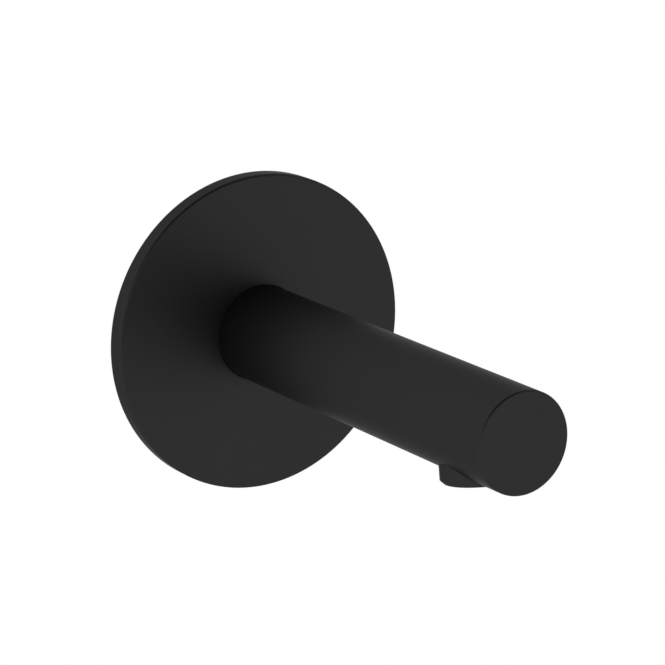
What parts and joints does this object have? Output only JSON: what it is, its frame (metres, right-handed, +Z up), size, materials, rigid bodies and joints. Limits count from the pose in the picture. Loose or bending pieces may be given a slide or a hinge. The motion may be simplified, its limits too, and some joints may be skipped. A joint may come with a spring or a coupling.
{
  "type": "bath spout",
  "caption": "Wall-mounted bath spout with a large round wall flange, a straight round tube with a flat closed end, and a short outlet nozzle that leans outwards under its tip.",
  "frame": {"origin": "centre of the wall plane, on the spout's axis, where the inlet thread begins", "axes": "+Y into the wall along the inlet thread, the spout points along -Y, +Z up, +X to the right of someone who faces the wall"},
  "size_m": [0.12, 0.1888, 0.12],
  "materials": {
    "black_coat": "satin black electrophoretic coat on brass",
    "bare_brass": "turned brass, uncoated",
    "seal_rubber": "black nitrile rubber",
    "gasket_foam": "closed-cell dark foam",
    "fibre": "red-brown vulcanised fibre",
    "aerator_black": "black moulded plastic",
    "aerator_white": "white moulded plastic",
    "screen_steel": "stainless steel"
  },
  "bodies": {
    "root": {"wall_flange": "black_coat", "spout_tube": "black_coat", "end_cap": "black_coat", "outlet_nozzle": "black_coat", "inlet_socket": "bare_brass", "wall_nipple": "bare_brass", "flange_o_ring": "seal_rubber", "aerator_seal": "seal_rubber", "nipple_o_ring_rear": "seal_rubber", "nipple_o_ring_front": "seal_rubber", "flange_gasket": "gasket_foam", "wall_seal_ring": "fibre", "aerator_housing": "aerator_black", "aerator_strainer": "aerator_white", "aerator_disperser": "aerator_white", "aerator_spacer": "aerator_white", "aerator_screen_upper": "screen_steel", "aerator_screen_lower": "screen_steel", "set_screw": "screen_steel"}
  },
  "joints": []
}
